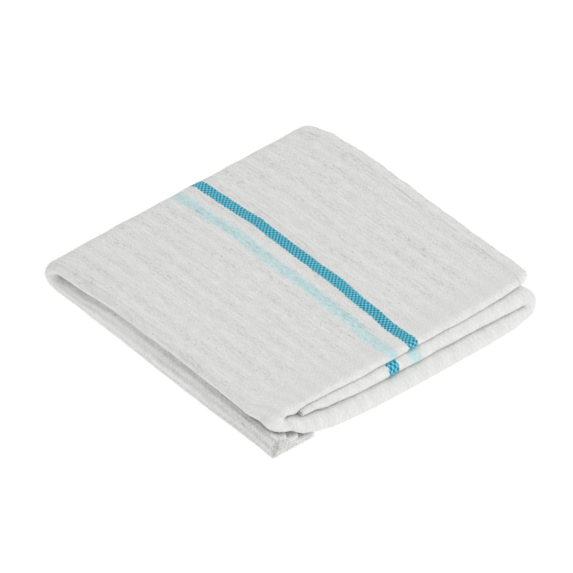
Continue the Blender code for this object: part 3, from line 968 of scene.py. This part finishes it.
def fibre_roots(points, normals, bend_row, rng, count):
    """Random places on the outside of the pack, a little above the sheet's middle.

    Each grid point has a chance, the sum of its shares in the top, the wrap, the
    bends, the selvedge and the spine. A picked point moves up to half a step both ways.
    """
    shape = points.shape[:2]
    x, y, z = np.moveaxis(points, 2, 0)
    column, row = np.indices(shape)
    outer = row < bend_row
    places = (
        ((z > TOP_FROM_Z) & (column > shape[0] // 2), FUZZ_ON_TOP),
        (y < WRAP_UNTIL_Y, FUZZ_ON_WRAP),
        ((column == shape[0] - 1) & (z > SELVEDGE_FROM_Z), FUZZ_ON_SELVEDGE),
        (x < SPINE_UNTIL_X, FUZZ_ON_SPINE),
    )
    chance = (x > BENDS_FROM_X) * FUZZ_ON_BENDS
    for inside, thickly in places:
        chance = chance + (inside & outer) * thickly
    chance = chance.ravel() / chance.sum()
    picked = rng.choice(chance.size, count, p=chance)
    column, row = np.unravel_index(picked, shape)
    column = np.clip(column, 1, shape[0] - 2)
    row = np.clip(row, 1, shape[1] - 2)
    place = points[column, row]
    for axis, step in ((0, (1, 0)), (1, (0, 1))):
        share = rng.uniform(-0.5, 0.5, (count, 1))
        place = place + share * (points[column + step[0], row + step[1]] - points[column, row])
    normal = normals[column, row]
    return place + normal * PLY * FIBRE_ROOT_HEIGHT, normal


def fuzz_mesh(points, normals, bend_row):
    """Loose fibres: thin ribbons that leave the cloth along its normal and curl to one side.

    A fibre's middle line is root + length * (t * lean direction + t^2 * curl
    direction), with t from 0 at the root to 1 at the tip, and it grows thin to the tip.
    """
    rng = np.random.default_rng(FIBRE_SEED)
    frayed = round(FRAYED_SHARE * FIBRES)
    outside = fibre_roots(points, normals, bend_row, rng, FIBRES - frayed)
    ends = frayed_roots(points, normals, rng, frayed)
    root, normal = (np.concatenate(pair) for pair in zip(outside, ends))
    length = rng.uniform(*FIBRE_LENGTH, (FIBRES, 1))
    lean = normal + FIBRE_LEAN * rng.normal(size=(FIBRES, 3))
    outward = (lean * normal).sum(axis=1, keepdims=True)
    lean = lean + normal * np.maximum(FIBRE_OUTWARD_LEAST - outward, 0.0)
    lean /= np.linalg.norm(lean, axis=1, keepdims=True)
    curl = FIBRE_CURL * rng.normal(size=(FIBRES, 3))
    across = np.cross(lean, normal + FIBRE_TWIST * rng.normal(size=(FIBRES, 3)))
    across /= np.linalg.norm(across, axis=1, keepdims=True)
    t = np.linspace(0.0, 1.0, FIBRE_JOINTS)[:, None, None]
    middle = root + length * (t * lean + t * t * curl)
    half = across * FIBRE_WIDTH / 2 * (1.0 - FIBRE_TAPER * t)
    strip = np.stack([middle + half, middle - half], axis=2).transpose(1, 0, 2, 3)
    vertices = strip.reshape(-1, 3)
    vertices[:, 2] = np.maximum(vertices[:, 2], FIBRE_LOWEST_Z)
    first = 2 * FIBRE_JOINTS * np.arange(FIBRES)[:, None] + 2 * np.arange(FIBRE_JOINTS - 1)
    quads = first[:, :, None] + np.array([0, 1, 3, 2])
    return mesh_from_arrays("fuzz", (vertices - ORIGIN) * MILLIMETRE, quads.reshape(-1, 4))


def fuzz_material():
    """Loose cotton fibres, some lighter and some darker, by noise on Object coordinates."""
    material = bpy.data.materials.new("loose_fibres")
    material.use_nodes = True
    tree = material.node_tree
    shader = tree.nodes["Principled BSDF"]
    place = node(tree, "ShaderNodeTexCoord")
    clumps = node(tree, "ShaderNodeTexNoise")
    clumps.inputs["Scale"].default_value = FIBRE_CLUMPS
    tree.links.new(place.outputs["Object"], clumps.inputs["Vector"])
    share = remapped(tree, clumps.outputs[0], *COLOUR_NOISE_RANGE)
    tree.links.new(colour_mix(tree, share, *FIBRE_SHADES), shader.inputs["Base Color"])
    shader.inputs["Roughness"].default_value = FIBRE_ROUGHNESS
    shader.inputs["Specular IOR Level"].default_value = COTTON_GLOSS
    return material


def make_cloth():
    """The folded cloth, which stands for the model's sheet, and the fuzz on it."""
    points, bend_row = middle_surface()
    points = leaning(rippled(points))
    normals = grid_normals(points)
    flat = cloth_coordinates(points, bend_row)
    points = softened(points, normals, flat)
    normals = grid_normals(points)
    thickness = hem_thickness(points, flat)
    mesh = sheet_mesh("folded_cloth", points, normals, thickness, flat)
    item = linked("folded_cloth", mesh)
    item.data.materials.append(cloth_material())
    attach(item, "root")
    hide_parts("cloth")
    fuzz = linked("fuzz", fuzz_mesh(points, normals, bend_row))
    fuzz.data.materials.append(fuzz_material())
    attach(fuzz, "root")


def floor_material():
    """White studio paper, lit well enough to vanish into the background."""
    material = bpy.data.materials.new("white_paper")
    material.use_nodes = True
    shader = material.node_tree.nodes["Principled BSDF"]
    shader.inputs["Base Color"].default_value = PAPER
    shader.inputs["Roughness"].default_value = 1.0
    shader.inputs["Specular IOR Level"].default_value = 0.0
    shader.inputs["Emission Color"].default_value = WHITE
    shader.inputs["Emission Strength"].default_value = PAPER_GLOW
    return material


def make_stage():
    """Floor, surrounding light and one large soft lamp above the side of the bends."""
    corners = np.array([(-1, -1, 0), (1, -1, 0), (1, 1, 0), (-1, 1, 0)]) * FLOOR_HALF
    corners[:, 2] = FLOOR_Z
    floor = linked("floor", mesh_from_arrays("floor", corners, np.array([(0, 1, 2, 3)])))
    floor.data.materials.append(floor_material())
    world = bpy.data.worlds.new("studio")
    world.use_nodes = True
    background = world.node_tree.nodes["Background"]
    background.inputs["Color"].default_value = WHITE
    background.inputs["Strength"].default_value = SKY
    bpy.context.scene.world = world
    for name, place, size, power in LAMPS:
        lamp = bpy.data.lights.new(name, "AREA")
        lamp.shape = "SQUARE"
        lamp.size = size
        lamp.energy = power
        item = bpy.data.objects.new(name, lamp)
        item.location = place
        item.rotation_euler = Vector(place).to_track_quat("Z", "Y").to_euler()
        bpy.context.scene.collection.objects.link(item)
    bpy.context.scene.view_settings.view_transform = "Standard"


def make_camera():
    """A long lens far away, at the photo's angle."""
    azimuth, elevation = np.radians(AZIMUTH), np.radians(ELEVATION)
    right = np.array([np.cos(azimuth), np.sin(azimuth), 0.0])
    level = np.array([np.sin(azimuth), -np.cos(azimuth), 0.0])
    back = level * np.cos(elevation) + np.array([0.0, 0.0, np.sin(elevation)])
    up = np.cross(back, right)
    target = FRONT_CORNER - ORIGIN + np.array(PICTURE_SHIFT) @ np.array([right, up, -back])
    place = Vector((target * MILLIMETRE + back * CAMERA_DISTANCE).tolist())
    data = bpy.data.cameras.new("camera")
    data.sensor_width = SENSOR
    data.lens = SENSOR * CAMERA_DISTANCE / (PICTURE_WIDTH * MILLIMETRE)
    data.clip_end = 2 * CAMERA_DISTANCE
    camera = bpy.data.objects.new("camera", data)
    turn = Matrix((right, up, back)).transposed().to_4x4()
    camera.matrix_world = Matrix.Translation(place) @ turn
    bpy.context.scene.collection.objects.link(camera)
    bpy.context.scene.camera = camera


make_cloth()
make_stage()
make_camera()
